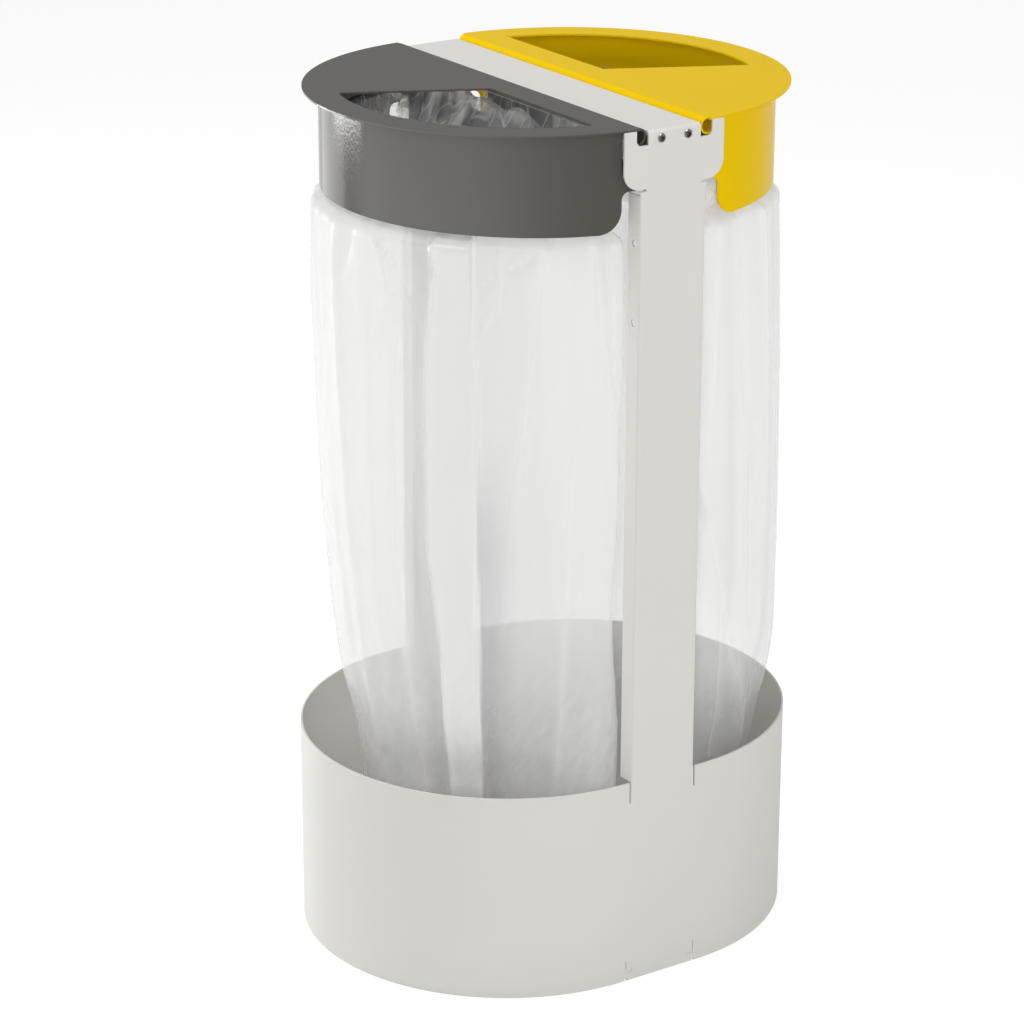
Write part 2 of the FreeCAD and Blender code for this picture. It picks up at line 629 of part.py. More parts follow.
def sack_sections(side_name, inset):
    """The outlines of a sack's body from the floor plate up to its ring."""
    side, centre, corner = number("sack_side"), number("sack_centre"), number("sack_corner")
    foot = number(FLOOR_TOP) + number("film_gap") + inset
    ring_inner = number("ring_bar + film_gap")
    measures = [
        (foot, "sack_foot_radius"),
        (number("sack_base_level"), f"ring_radius + {side_name}_low_swell"),
        (number("sack_low_level"), f"ring_radius + {side_name}_low_swell"),
        (number("sack_mid_level"), f"ring_radius + {side_name}_mid_swell"),
        (number("sack_high_level"), f"ring_radius + {side_name}_high_swell"),
        (number(f"{TOP} - sack_shoulder_drop"), "ring_radius + shoulder_swell"),
    ]
    wires = [d_wire(side, centre, number(radius), corner, height, inset) for height, radius in measures]
    # inside the cuff the film runs straight up to the ring's inner side
    neck_low = number(f"{SKIRT_LOW} + 4")
    neck_top = number(f"{RING_Z} + ring_bar + film_gap + film")
    for height in (neck_low, neck_top):
        wires.append(d_wire(
            number("ring_side"), number("ring_centre"), number("ring_radius"), number("ring_corner"),
            height, ring_inner + inset,
        ))
    return wires


def make_sack(label, side_name, turn):
    """A film sack: its mouth goes up inside the ring, over it and down outside as a cuff."""
    film, level = number("film"), number(RING_Z)
    lie = number("ring_bar + film_gap")
    outer = Part.makeLoft(sack_sections(side_name, 0.0), True, True)
    hollow = Part.makeLoft(sack_sections(side_name, film), True, True)
    top = level + lie + film
    cuff = ring_band(lie + film, lie, level - number("cuff_length"), top)
    fold = ring_band(lie + film, -lie - film, top - film, top)
    sack = outer.fuse([cuff, fold]).cut(hollow)
    sack = sack.cut(ring_band(-lie - film, -3 * lie, top - 2 * film, top + 1))
    # a slit in the cuff lets each arm of the ring pass
    clear, half = number("cuff_slot_gap"), number("arm_sheet / 2 + cuff_slot_gap")
    for sign in (1, -1):
        inner = straight_end() - number("arm_sheet") - clear
        near, far = sorted((sign * inner, sign * number(FRONT_INNER)))
        slot = box_between(
            Vector(-number("ring_side") - half, near, number(f"{RING_Z} - arm_height / 2") - clear),
            Vector(-number("ring_side") + half, far, top + 1),
        )
        sack = sack.cut(slot)
    return free_solid(label, sack.removeSplitter(), turn)


parts = [make_frame(), make_floor_plate()]
parts.append(make_hinge_plate("front_hinge_plate", 0))
parts.append(make_hinge_plate("rear_hinge_plate", 180))
for end, y, heading in (("front", "-half_depth", -1), ("rear", "half_depth", 1)):
    for side, x in (("left", "-screw_x"), ("right", "screw_x")):
        parts.append(make_screw(f"bridge_screw_{end}_{side}", "screw_length", x, y, SCREW_Z, heading))
for end, sign, heading in (("front", "-", 1), ("rear", "", -1)):
    for side, x in (("left", "-ring_screw_x"), ("right", "ring_screw_x")):
        seat = f"{sign}({HINGE_PLATE_INNER} - arm_sheet)"
        parts.append(make_screw(f"ring_screw_{end}_{side}", "ring_screw_length", x, seat, RING_Z, heading))
parts.append(make_ring("left_sack_ring", 0))
parts.append(make_ring("right_sack_ring", 180))
parts.append(make_sack("left_sack", "left", 0))
parts.append(make_sack("right_sack", "right", 180))
parts.append(make_lid("left_lid", 0))
parts.append(make_lid("right_lid", 180))
doc.recompute()

for item in doc.Objects:
    if "Invalid" in item.State or "Error" in item.State:
        raise RuntimeError(f"{item.Name} failed: {item.State}")
os.makedirs("parts", exist_ok=True)
for piece in parts:
    shape = piece.Shape
    if shape.isNull() or not shape.isValid() or not shape.Solids:
        raise RuntimeError(f"{piece.Label} has no valid solid")
    shape.exportStep(f"parts/{piece.Label}.step")
    print(f"{piece.Label}: {len(shape.Solids)} solid, {shape.Volume / 1000:.1f} cm3")
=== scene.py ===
# %% [markdown]
# # A double sack holder
# A folded steel stand with two half-round lids and two clear film sacks. The steel pieces come
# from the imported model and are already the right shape, so this lesson gives them their paint and
# plating. The two sacks are soft, and a CAD solid can only hold their rough form. They are
# modelled here from flat film, the way that a real sack is made.

import math

import bpy
import numpy as np
from mathutils import Matrix, Vector, noise


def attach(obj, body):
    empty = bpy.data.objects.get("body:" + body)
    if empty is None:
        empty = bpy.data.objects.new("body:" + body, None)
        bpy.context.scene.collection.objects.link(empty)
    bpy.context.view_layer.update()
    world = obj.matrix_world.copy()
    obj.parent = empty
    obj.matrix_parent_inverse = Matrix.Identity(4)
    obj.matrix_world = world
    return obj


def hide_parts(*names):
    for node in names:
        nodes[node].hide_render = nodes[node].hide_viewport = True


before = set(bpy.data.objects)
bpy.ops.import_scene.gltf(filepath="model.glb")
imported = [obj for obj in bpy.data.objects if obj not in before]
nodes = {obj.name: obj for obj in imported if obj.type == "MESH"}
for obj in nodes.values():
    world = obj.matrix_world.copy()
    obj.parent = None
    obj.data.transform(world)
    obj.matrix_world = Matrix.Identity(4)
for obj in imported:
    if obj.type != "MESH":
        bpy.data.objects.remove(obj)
bpy.ops.object.select_all(action="DESELECT")
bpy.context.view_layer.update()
print("pieces of the stand:", ", ".join(sorted(nodes)))

# %% [markdown]
# ## The camera
# The photograph was taken from far away with a long lens, which keeps the uprights nearly
# parallel. The camera stands on a line from a target inside the stand. Its place is given by
# a turn round the stand, a height above the horizon, a distance and a very small roll.

# %% The photograph's camera
CAMERA_TARGET = Vector((-0.04323, 0.0, 0.47489))
CAMERA_TURN = math.radians(-33.593)
CAMERA_RISE = math.radians(20.186)
CAMERA_DISTANCE = 3.95079
CAMERA_ROLL = math.radians(0.178)
CAMERA_LENS = 126.49

towards_camera = Vector((
    math.sin(CAMERA_TURN) * math.cos(CAMERA_RISE),
    -math.cos(CAMERA_TURN) * math.cos(CAMERA_RISE),
    math.sin(CAMERA_RISE),
))
sideways = (-towards_camera).cross(Vector((0, 0, 1))).normalized()
upwards = sideways.cross(-towards_camera)
rolled_side = sideways * math.cos(CAMERA_ROLL) + upwards * math.sin(CAMERA_ROLL)
rolled_up = upwards * math.cos(CAMERA_ROLL) - sideways * math.sin(CAMERA_ROLL)
axes = Matrix((rolled_side, rolled_up, towards_camera)).transposed()
bpy.ops.object.camera_add(
    location=CAMERA_TARGET + towards_camera * CAMERA_DISTANCE, rotation=axes.to_euler()
)
camera = bpy.context.object
camera.name = "photo_camera"
camera.data.lens = CAMERA_LENS
camera.data.sensor_width = 36.0
camera.data.clip_end = 100.0
bpy.context.scene.camera = camera
print("camera at", [round(v, 3) for v in camera.location])

# %% [markdown]
# ## Shader maths
# A material's pattern is easier to read as a sum than as a web of nodes. One small class wraps
# the output of a node, so that `peel * 0.3 + 0.5` adds its Math nodes by itself. One function
# adds any other node from its type, its settings and the values of its sockets.


# %% One class for sums of shader values
class Signal:
    """The output socket of a node, ready for sums."""

    def __init__(self, tree, socket):
        self.tree = tree
        self.socket = socket

    def _maths(self, operation, first, second):
        settings = {"operation": operation}
        made = add_node(self.tree, "ShaderNodeMath", settings, {0: first, 1: second})
        return Signal(self.tree, made.outputs[0])

    def __add__(self, other):
        return self._maths("ADD", self, other)

    __radd__ = __add__

    def __sub__(self, other):
        return self._maths("SUBTRACT", self, other)

    def __rsub__(self, other):
        return self._maths("SUBTRACT", other, self)

    def __mul__(self, other):
        return self._maths("MULTIPLY", self, other)

    __rmul__ = __mul__

    def __pow__(self, other):
        return self._maths("POWER", self, other)


def add_node(tree, kind, settings=None, sockets=None):
    """Adds a node, sets its own settings first and then its sockets, by value or by link."""
    made = tree.nodes.new(kind)
    for name, value in (settings or {}).items():
        setattr(made, name, value)
    for name, value in (sockets or {}).items():
        socket = made.inputs[name]
        if isinstance(value, Signal):
            tree.links.new(value.socket, socket)
        elif isinstance(value, bpy.types.NodeSocket):
            tree.links.new(value, socket)
        else:
            socket.default_value = value
    return made


def new_material(name):
    """An empty material, with its tree, its output and its main shader."""
    material = bpy.data.materials.new(name)
    material.use_nodes = True
    tree = material.node_tree
    tree.nodes.clear()
    shader = add_node(tree, "ShaderNodeBsdfPrincipled")
    add_node(tree, "ShaderNodeOutputMaterial", None, {"Surface": shader.outputs[0]})
    return material, tree, shader


def noise_signal(tree, vector, scale, detail=2.0, roughness=0.5):
    """Smooth noise between 0 and 1."""
    made = add_node(
        tree, "ShaderNodeTexNoise", None,
        {"Vector": vector, "Scale": scale, "Detail": detail, "Roughness": roughness},
    )
    return Signal(tree, made.outputs[0])


def ramp(tree, value, low, high):
    """Rises smoothly from 0 at low to 1 at high. It falls where low is the larger one."""
    made = add_node(
        tree, "ShaderNodeMapRange", {"interpolation_type": "SMOOTHSTEP"},
        {"Value": value, "From Min": low, "From Max": high},
    )
    return Signal(tree, made.outputs[0])


def mix_colour(tree, share, first, second):
    """The first colour where share is 0 and the second where it is 1."""
    made = add_node(
        tree, "ShaderNodeMix", {"data_type": "RGBA"},
        {"Factor": share, 6: (*first, 1.0), 7: (*second, 1.0)},
    )
    return made.outputs[2]


# %% [markdown]
# ## The studio
# The object was shot on white. A large pale floor keeps a soft shadow, and the world behind it
# is white wherever the camera looks. Lamps stay at a plain level, so a colour renders about as it
# is written. Reflections see a studio of their own. A lit part of the sweep, behind the stand on
# the left, draws a bright strip down the left side of each round piece. The rest of the room is
# dim, which leaves the paint of the lids its full colour. Each EDGE below holds the two values
# between which a part of that room fades in or out.

# %% World and floor
WORLD_LIGHT = 0.42
LIT_SWEEP = 0.6
LIT_SWEEP_AIM = Vector((-0.127, 0.931, -0.342))
LIT_SWEEP_EDGE = (0.951, 0.959)
LEFT_WALL = 1.2
LEFT_WALL_EDGE = (-0.7, 1.0)
LEFT_WALL_END_EDGE = (0.08, 0.45)
LEFT_WALL_FADE = 0.92
DIM_ROOM = 0.8
DIM_ROOM_EDGE = (0.1, 0.8)
CEILING = 0.22
CEILING_EDGE = (0.0, 0.14)
FLOOR_SIZE = 60.0
FLOOR_HEIGHT = -0.0005
FLOOR_GLOW = 0.8
FLOOR_SEEN = (0.3, 0.3, 0.3)
FLOOR_BOUNCE = (0.9, 0.9, 0.89)

world = bpy.data.worlds.new("studio")
bpy.context.scene.world = world
world.use_nodes = True
sky = world.node_tree
sky.nodes.clear()
rays = add_node(sky, "ShaderNodeLightPath")
reflected = Signal(sky, rays.outputs["Is Glossy Ray"])
camera_ray = Signal(sky, rays.outputs["Is Camera Ray"])
seen = camera_ray + Signal(sky, rays.outputs["Is Transmission Ray"])
direction = add_node(sky, "ShaderNodeTexCoord").outputs["Generated"]
height = Signal(sky, add_node(sky, "ShaderNodeSeparateXYZ", None, {0: direction}).outputs["Z"])


def facing(axis):
    """How much a direction of view agrees with an axis, from -1 to 1."""
    made = add_node(
        sky, "ShaderNodeVectorMath", {"operation": "DOT_PRODUCT"}, {0: direction, 1: axis}
    )
    return Signal(sky, made.outputs["Value"])


away = Vector((-towards_camera.x, -towards_camera.y, 0)).normalized()
left_wall = ramp(sky, facing(-sideways), *LEFT_WALL_EDGE)
left_wall = left_wall * (1.0 - ramp(sky, facing(away), *LEFT_WALL_END_EDGE) * LEFT_WALL_FADE)
lit_sweep = ramp(sky, facing(LIT_SWEEP_AIM), *LIT_SWEEP_EDGE)
low_room = ramp(sky, facing(away), *DIM_ROOM_EDGE) * DIM_ROOM
low_room = low_room + left_wall * LEFT_WALL + lit_sweep * LIT_SWEEP
above = ramp(sky, height, *CEILING_EDGE)
room = above * CEILING + (1.0 - above) * low_room
level = seen + reflected * room + (1.0 - (seen + reflected)) * WORLD_LIGHT
background = add_node(
    sky, "ShaderNodeBackground", None, {"Color": (1, 1, 1, 1), "Strength": level}
)
add_node(sky, "ShaderNodeOutputWorld", None, {"Surface": background.outputs[0]})

bpy.ops.mesh.primitive_plane_add(size=FLOOR_SIZE, location=(0, 0, FLOOR_HEIGHT))
floor = bpy.context.object
floor.name = "floor"
material, tree, shader = new_material("pale_floor")
rays = add_node(tree, "ShaderNodeLightPath")
camera_ray = Signal(tree, rays.outputs["Is Camera Ray"])
shown = camera_ray + Signal(tree, rays.outputs["Is Transmission Ray"])
floor_colour = mix_colour(tree, shown, FLOOR_BOUNCE, FLOOR_SEEN)
tree.links.new(floor_colour, shader.inputs["Base Color"])
shader.inputs["Roughness"].default_value = 1.0
shader.inputs["Specular IOR Level"].default_value = 0.0
shader.inputs["Emission Color"].default_value = (1, 1, 1, 1)
tree.links.new((shown * FLOOR_GLOW).socket, shader.inputs["Emission Strength"])
floor.data.materials.append(material)
floor.visible_glossy = False

# %% Softboxes
BACK_LEFT_POWER = 58
FRONT_POWER = 56
RIGHT_POWER = 24
TOP_POWER = 52
MIDDLE_OF_STAND = Vector((0, 0, 0.5))


def softbox(name, place, size, power):
    """A square lamp that faces the middle of the stand."""
    bpy.ops.object.light_add(type="AREA", location=place)
    lamp = bpy.context.object
    lamp.name = name
    lamp.data.shape = "SQUARE"
    lamp.data.size = size
    lamp.data.energy = power
    aim = Vector(place) - MIDDLE_OF_STAND
    lamp.rotation_euler = aim.to_track_quat("Z", "Y").to_euler()


softbox("back_left_softbox", (-1.72, 2.82, 1.0), 1.8, BACK_LEFT_POWER)
softbox("front_softbox", (-1.28, -3.79, 1.9), 2.0, FRONT_POWER)
# this lamp lights the stand, but the glossy lids don't mirror it
bpy.context.object.visible_glossy = False
softbox("right_softbox", (2.65, -3.0, 1.6), 2.0, RIGHT_POWER)
softbox("top_softbox", (-0.6, 0.4, 3.6), 2.0, TOP_POWER)
bpy.context.scene.view_settings.view_transform = "Standard"

# %% [markdown]
# ## Powder coat
# The stand and the lids are powder coated. Close by, such paint has a faint orange peel: shallow
# waves a few millimetres across. It changes the reflections more than the colour. Object
# coordinates are in metres here, so a noise scale of 260 makes waves of about 4 mm.


# %% Paint for the stand and the lids
PEEL_SCALE = 260.0
PEEL_STRENGTH, PEEL_DEPTH = 0.12, 0.0004
CLOUD_SCALE = 7.0
DUSTY = 0.965
CLOUD_ROUGHNESS, PEEL_ROUGHNESS = 0.06, 0.04


def powder_coat(name, colour, roughness, specular=0.5):
    """A powder coat with faint clouds and orange peel. roughness is its mean value."""
    material, tree, shader = new_material(name)
    place = add_node(tree, "ShaderNodeTexCoord").outputs["Object"]
    peel = noise_signal(tree, place, PEEL_SCALE, 1.0)
    cloud = noise_signal(tree, place, CLOUD_SCALE, 3.0)
    dusty = [channel * DUSTY for channel in colour]
    tree.links.new(mix_colour(tree, cloud, colour, dusty), shader.inputs["Base Color"])
    mean_noise = (CLOUD_ROUGHNESS + PEEL_ROUGHNESS) / 2
    rough = cloud * CLOUD_ROUGHNESS + peel * PEEL_ROUGHNESS + (roughness - mean_noise)
    tree.links.new(rough.socket, shader.inputs["Roughness"])
    bump = add_node(
        tree, "ShaderNodeBump", None,
        {"Strength": PEEL_STRENGTH, "Distance": PEEL_DEPTH, "Height": peel},
    )
    tree.links.new(bump.outputs[0], shader.inputs["Normal"])
    shader.inputs["Specular IOR Level"].default_value = specular
    return material


def linear(red, green, blue):
    """The shader's colour for a colour as a screen shows it, each from 0 to 255."""
    return tuple(((c / 255 + 0.055) / 1.055) ** 2.4 for c in (red, green, blue))


def paint(material, *names):
    """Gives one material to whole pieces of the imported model."""
    for name in names:
        slots = nodes[name].data.materials
        slots.clear()
        slots.append(material)


stand_paint = powder_coat("stand_light_grey", linear(217, 216, 211), 0.42, 0.35)
grey_paint = powder_coat("lid_mid_grey", linear(88, 86, 81), 0.11, 0.8)
yellow_paint = powder_coat("lid_yellow", linear(230, 192, 1), 0.22, 0.05)
# The rings and hinge plates get a blue-black coat. It is partly their own dark paint and partly
# painted shade, which makes the inside of each mouth under its lid look dark.
ring_paint_and_mouth_shade = powder_coat("ring_blue_black_and_mouth_shade", linear(36, 37, 50), 0.35)
paint(stand_paint, "frame", "floor_plate")
paint(grey_paint, "left_lid")
paint(yellow_paint, "right_lid")
paint(ring_paint_and_mouth_shade, "left_sack_ring", "right_sack_ring", "front_hinge_plate", "rear_hinge_plate")

# %% [markdown]
# ## Zinc-plated steel
# The screws are plated. Plating is metal, so its colour sits in the reflection. It is a little
# cloudy, and its roughness varies from place to place.


# %% Plating for the screws
ZINC_CLOUDS = 400.0
GRAIN_SCALE = 1500.0
GRAIN_STRENGTH, GRAIN_DEPTH = 0.2, 0.0001
ZINC_ROUGHNESS, ZINC_CLOUD_ROUGHNESS = 0.2, 0.25
WORN = 0.8


def plated(name, colour, scale):
    """Plated metal whose colour and roughness are cloudy. scale sets the size of the clouds."""
    material, tree, shader = new_material(name)
    place = add_node(tree, "ShaderNodeTexCoord").outputs["Object"]
    cloud = noise_signal(tree, place, scale, 4.0, 0.6)
    grain = noise_signal(tree, place, GRAIN_SCALE, 1.0)
    worn = [channel * WORN for channel in colour]
    tree.links.new(mix_colour(tree, cloud, colour, worn), shader.inputs["Base Color"])
    rough = cloud * ZINC_CLOUD_ROUGHNESS + ZINC_ROUGHNESS
    tree.links.new(rough.socket, shader.inputs["Roughness"])
    bump = add_node(
        tree, "ShaderNodeBump", None,
        {"Strength": GRAIN_STRENGTH, "Distance": GRAIN_DEPTH, "Height": grain},
    )
    tree.links.new(bump.outputs[0], shader.inputs["Normal"])
    shader.inputs["Metallic"].default_value = 1.0
    return material


screw_zinc = plated("screw_zinc", linear(178, 174, 166), ZINC_CLOUDS)
screws = [name for name in nodes if "screw" in name]
paint(screw_zinc, *screws)
print("plated:", len(screws), "screws")

# %% [markdown]
# ## Clear film
# A sack of this kind is blown film, about a twentieth of a millimetre thick. It is milky rather
# than coloured: each layer of the body hides nearly half of what lies behind it, and a layer at
# the mouth hides less. Where the film is pleated, several layers lie on each other. The mesh
# carries two attributes. One is called plies and holds the number of layers, from which the shader
# works out how much of the light gets through. The other is called shade and rises towards 1 where
# the film turns away from the light. The film hangs smooth in the middle. At the mouth and in its
# lowest third it is crumpled, so the fine creases are switched on by height.

# %% Film material
FILM_COLOUR = (0.86, 0.86, 0.855)
FILM_IN_SHADE = (0.56, 0.56, 0.58)
FILM_PLY = 0.46
MOUTH_PLY = 0.14
MOUTH_EDGE = (0.842, 0.864)
FOOT_EDGE = (0.42, 0.24)
DRAPE_STRETCH = (1, 1, 3)
SLANT_STRETCH = (1, 1, 3.2)
SLANT_TURN = (0.5, 0.35, 0.0)
FILM_BUMP, FILM_RELIEF = 0.7, 0.005
FILM_ROUGHNESS, CRINKLE_ROUGHNESS = 0.18, 0.12
# Noise scales, where a larger one makes a finer pattern
DRAPE_SCALE, CREASE_SCALE, CRINKLE_SCALE, WRINKLE_SCALE = 8.0, 34.0, 150.0, 105.0
LINE_SCALE, FACET_SCALE, SMEAR_SCALE = 40.0, 62.0, 26.0
LINE_WIDTH = 0.05
SMEAR_EDGE = (0.5, 0.72)
# How much each pattern lifts the surface
DRAPE_LIFT, CRINKLE_LIFT, FACET_LIFT_AT_FOOT = 0.7, 0.02, 0.15
WRINKLE_LIFT, WRINKLE_LIFT_AT_FOOT = 0.03, 0.24
# How much each pattern adds to what one layer hides
DRAPE_MILK, SMEAR_MILK, WRINKLE_MILK = 0.12, 0.3, 0.16
LINE_MILK_AT_MOUTH, LINE_MILK_AT_FOOT = 0.22, 0.012


def clear_film(name):
    """Film whose layers, shade and fine creases come from its attributes and from its height."""
    material, tree, shader = new_material(name)
    place = add_node(tree, "ShaderNodeTexCoord").outputs["Object"]
    height = Signal(tree, add_node(tree, "ShaderNodeSeparateXYZ", None, {0: place}).outputs["Z"])
    plies = add_node(tree, "ShaderNodeAttribute", {"attribute_name": "plies"}).outputs["Fac"]
    tall = add_node(
        tree, "ShaderNodeMapping", {"vector_type": "TEXTURE"},
        {"Vector": place, "Scale": DRAPE_STRETCH},
    )
    drape = noise_signal(tree, tall.outputs[0], DRAPE_SCALE, 2.0)
    creases = noise_signal(tree, place, CREASE_SCALE, 3.0, 0.55)
    crinkle = noise_signal(tree, place, CRINKLE_SCALE, 2.0, 0.5)
    mouth = ramp(tree, height, *MOUTH_EDGE)
    foot = ramp(tree, height, *FOOT_EDGE)
    slant = add_node(
        tree, "ShaderNodeMapping", {"vector_type": "TEXTURE"},
        {"Vector": place, "Rotation": SLANT_TURN, "Scale": SLANT_STRETCH},
    )
    wrinkles = noise_signal(tree, slant.outputs[0], WRINKLE_SCALE, 2.5, 0.5)
    edge = add_node(
        tree, "ShaderNodeTexVoronoi", {"feature": "DISTANCE_TO_EDGE"},
        {"Vector": slant.outputs[0], "Scale": LINE_SCALE},
    )
    lines = ramp(tree, Signal(tree, edge.outputs["Distance"]), LINE_WIDTH, 0.0)
    facets = Signal(tree, add_node(
        tree, "ShaderNodeTexVoronoi", None, {"Vector": slant.outputs[0], "Scale": FACET_SCALE}
    ).outputs["Distance"])
    bump = add_node(
        tree, "ShaderNodeBump", None,
        {"Strength": FILM_BUMP, "Distance": FILM_RELIEF,
         "Height": drape * DRAPE_LIFT + (facets + creases) * mouth + crinkle * CRINKLE_LIFT
         + wrinkles * (foot * WRINKLE_LIFT_AT_FOOT + WRINKLE_LIFT)
         + facets * foot * FACET_LIFT_AT_FOOT},
    )
    tree.links.new(bump.outputs[0], shader.inputs["Normal"])
    streaks = noise_signal(tree, tall.outputs[0], SMEAR_SCALE, 2.0)
    smears = ramp(tree, streaks, *SMEAR_EDGE) * mouth
    one_ply = FILM_PLY - mouth * (FILM_PLY - MOUTH_PLY) + (drape - 0.5) * DRAPE_MILK
    one_ply = one_ply + lines * (mouth * LINE_MILK_AT_MOUTH + foot * LINE_MILK_AT_FOOT)
    one_ply = one_ply + smears * SMEAR_MILK + (wrinkles - 0.5) * foot * WRINKLE_MILK
    hidden = 1.0 - (1.0 - one_ply) ** plies
    tree.links.new(hidden.socket, shader.inputs["Alpha"])
    rough = crinkle * CRINKLE_ROUGHNESS + FILM_ROUGHNESS
    tree.links.new(rough.socket, shader.inputs["Roughness"])
    shade = add_node(tree, "ShaderNodeAttribute", {"attribute_name": "shade"}).outputs["Fac"]
    film_colour = mix_colour(tree, shade, FILM_COLOUR, FILM_IN_SHADE)
    tree.links.new(film_colour, shader.inputs["Base Color"])
    material.use_backface_culling = False
    return material


film = clear_film("clear_film")

# %% [markdown]
# ## The outline of a sack
# Seen from above, a sack is a D: nearly straight on the side that faces its twin, and round on
# the outside. The D is walked as one closed line: two straight halves, two small corners and one
# large arc. A share from 0 to 1 gives a point on it and the direction that faces outwards.


# %% A D-shaped outline
def d_outline(side, centre, radius, corner, shares):
    """Points and outward directions on a D in metres. The straight side lies at x = -side."""
    foot_x = -(side + corner)
    foot_y = math.sqrt((radius - corner) ** 2 - (foot_x + centre) ** 2)
    lean = math.atan2(foot_y, foot_x + centre)
    runs = [foot_y, corner * lean, 2 * radius * (math.pi - lean), corner * lean, foot_y]
    edges = np.concatenate(([0.0], np.cumsum(runs)))
    walked = np.asarray(shares) * edges[-1]
    points = np.zeros((len(walked), 2))
    outwards = np.zeros((len(walked), 2))
    for index, distance in enumerate(walked):
        run = min(int(np.searchsorted(edges, distance, side="right")) - 1, 4)
        along = distance - edges[run]
        if run in (0, 4):
            y = along if run == 0 else along - foot_y
            points[index] = (-side, y)
            outwards[index] = (1, 0)
            continue
        if run == 2:
            angle, middle, bend = lean + along / radius, (-centre, 0.0), radius
        elif run == 1:
            angle, middle, bend = along / corner, (foot_x, foot_y), corner
        else:
            angle, middle, bend = -lean + along / corner, (foot_x, -foot_y), corner
        outwards[index] = (math.cos(angle), math.sin(angle))
        points[index] = np.array(middle) + outwards[index] * bend
    return points, outwards


# %% [markdown]
# ## How far out the film hangs
# The mouth of a sack goes up through its ring, over the bar and down outside as a cuff. The
# sizes below repeat those of the ring, and the places where the film swells or draws in are read
# from the outline of each sack in the photograph.

# %% Sizes of a sack's mouth and foot
RING_SIDE, RING_CENTRE, RING_RADIUS, RING_CORNER = 0.052, 0.018, 0.212, 0.014
RING_LEVEL = 0.912
BAR_TO_FILM = 0.0046
SACK_SIDE, SACK_CENTRE, SACK_CORNER = 0.0465, 0.038, 0.012
FLOOR_LEVEL = 0.0145
CUFF_EDGE = 0.853
NECK_LEVEL = 0.851
ROW_STEP = 0.0055
SOFTENED_ROWS = 6
CREST_ROWS = 9

# Height, and radius of the large arc, read from the two outlines in the photograph
LEFT_BODY = (
    (0.018, 0.15), (0.09, 0.165), (0.236, 0.176), (0.3, 0.193), (0.373, 0.202), (0.425, 0.206),
    (0.49, 0.212), (0.604, 0.216), (0.73, 0.219), (0.8, 0.2185), (0.833, 0.2165),
)
RIGHT_BODY = (
    (0.018, 0.155), (0.09, 0.188), (0.25, 0.211), (0.28, 0.219), (0.32, 0.223), (0.37, 0.225),
    (0.49, 0.2245), (0.6, 0.2235), (0.73, 0.221), (0.8, 0.2185), (0.833, 0.2165),
)


def film_rows(body, step=ROW_STEP):
    """(height, side, centre, radius, corner) for each row of the film, weld first, cuff last."""
    levels = np.arange(body[0][0], body[-1][0], step)
    radii = np.interp(levels, [level for level, _ in body], [radius for _, radius in body])
    window = np.hanning(2 * SOFTENED_ROWS + 3)
    padded = np.pad(radii, SOFTENED_ROWS, mode="edge")
    soft = np.convolve(padded, window[1:-1] / window.sum(), "same")[SOFTENED_ROWS:-SOFTENED_ROWS]
    rows = [(level, SACK_SIDE, SACK_CENTRE, arc, SACK_CORNER) for level, arc in zip(levels, soft)]

    def ring_row(level, outside):
        radius, corner = RING_RADIUS + outside, RING_CORNER + outside
        return (level, RING_SIDE - outside, RING_CENTRE, radius, corner)

    # a smooth step from the swollen body to the neck inside the ring
    last = rows[-1]
    goal = ring_row(NECK_LEVEL, -BAR_TO_FILM)
    for share in (0.25, 0.5, 0.75, 1.0):
        eased = share * share * (3 - 2 * share)
        shares = (share, eased, eased, eased, eased)
        rows.append(tuple(a + (b - a) * part for a, b, part in zip(last, goal, shares)))
    neck = np.arange(NECK_LEVEL + step, RING_LEVEL - 0.002, step)
    rows += [ring_row(level, -BAR_TO_FILM) for level in neck]
    for turn in np.linspace(0, math.pi, CREST_ROWS):
        crest = RING_LEVEL + BAR_TO_FILM * math.sin(turn)
        rows.append(ring_row(crest, -BAR_TO_FILM * math.cos(turn)))
    cuff = np.arange(RING_LEVEL - step, CUFF_EDGE, -step)
    rows += [ring_row(level, BAR_TO_FILM) for level in cuff]
    return rows


print("rows of film:", len(film_rows(LEFT_BODY)), "and", len(film_rows(RIGHT_BODY)))

# %% [markdown]
# ## Folds
# Film that hangs from a ring keeps long upright folds, and a few cross them at a slant where the
# sack was packed flat. Each fold is stated as a line on the film: its share of the way round
# and its height at both ends, how deep it is and how wide. The larger ones follow the photograph.
# On the line of a fold the film is doubled, so it counts as thicker there. Between the folds, slow
# waves and a crumple made of noise keep the film from looking like glass.

# %% Folds of each sack
# The pleat on the left sack's front: (height, share) of its two edges, its layers, and the width
# over which its edges change
PLEAT_LEFT = (
    (0.05, 0.618), (0.39, 0.619), (0.5, 0.609), (0.7, 0.609), (0.804, 0.619), (0.85, 0.612),
)
PLEAT_RIGHT = ((0.05, 0.655), (0.43, 0.662), (0.67, 0.658), (0.85, 0.651))
PLEAT_PLIES = 3.2
PLEAT_EDGE = 0.0012
# The shade before the pleat: its strength, and where it starts and is full, in shares before it
TUCK_SHADE = 0.5
TUCK_START, TUCK_FULL = 0.045, 0.01
# The shade after the pleat: its width in shares, and the heights between which it fades out
BESIDE_WIDTH = 0.045
BESIDE_TOP = (0.5, 0.66)
# The thinner film at the left sack's foot: layers that it lacks, and where it fades out
THINNER_FOOT = 0.35
THINNER_TOP = (0.3, 0.42)
THINNER_END = (0.72, 0.78)
# The right sack's foot: how dark its shade is, how many layers it lacks, and where both fade out
RIGHT_FOOT_SHADE = 0.8
RIGHT_SHADE_TOP = (0.2, 0.36)
RIGHT_FOOT_THINNER = 0.55
RIGHT_THINNER_TOP = (0.24, 0.36)

